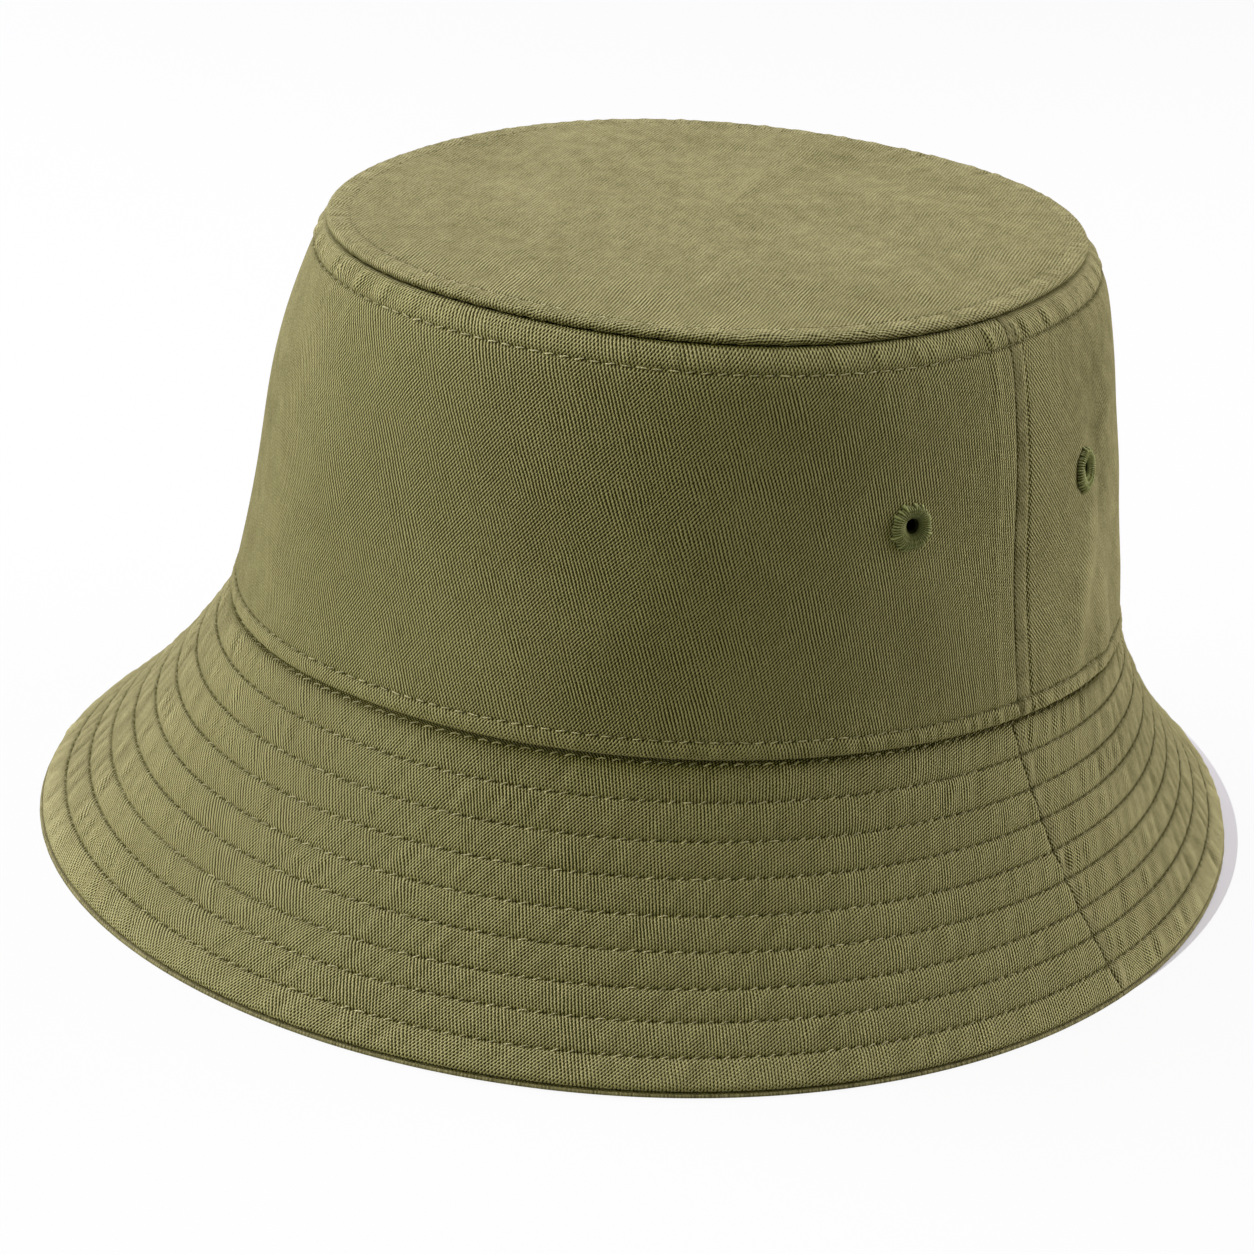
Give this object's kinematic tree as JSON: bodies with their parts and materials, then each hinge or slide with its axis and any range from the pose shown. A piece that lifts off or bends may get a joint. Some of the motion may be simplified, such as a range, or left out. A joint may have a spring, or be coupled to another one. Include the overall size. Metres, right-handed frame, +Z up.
{
  "type": "bucket hat",
  "caption": "Soft cotton bucket hat: a flat round tip on a short sewn crown, vent eyelets at the sides and a sloping brim stitched in rows.",
  "frame": {"origin": "centre of the hat's bounding box on the surface that the brim edge rests on", "axes": "+Z up through the crown; -Y the front of the hat; +X the wearer's left, the side seam that the picture shows"},
  "size_m": [0.2471, 0.288, 0.1376],
  "materials": {
    "outer_twill": "washed olive cotton twill",
    "sweatband_cotton": "plain woven olive cotton",
    "seam_tape": "olive cotton tape",
    "interlining": "undyed woven stiffener",
    "sewing_thread": "green-olive sewing thread"
  },
  "bodies": {
    "root": {"crown_tip": "outer_twill", "side_panel_front": "outer_twill", "side_panel_rear": "outer_twill", "brim_top_front": "outer_twill", "brim_top_rear": "outer_twill", "brim_under_front": "outer_twill", "brim_under_rear": "outer_twill", "brim_interlining_front": "interlining", "brim_interlining_rear": "interlining", "sweatband": "sweatband_cotton", "crown_seam_tape": "seam_tape", "side_seam_tape_right": "seam_tape", "side_seam_tape_left": "seam_tape", "eyelet_right_front": "sewing_thread", "eyelet_right_rear": "sewing_thread", "eyelet_left_front": "sewing_thread", "eyelet_left_rear": "sewing_thread"}
  },
  "joints": []
}
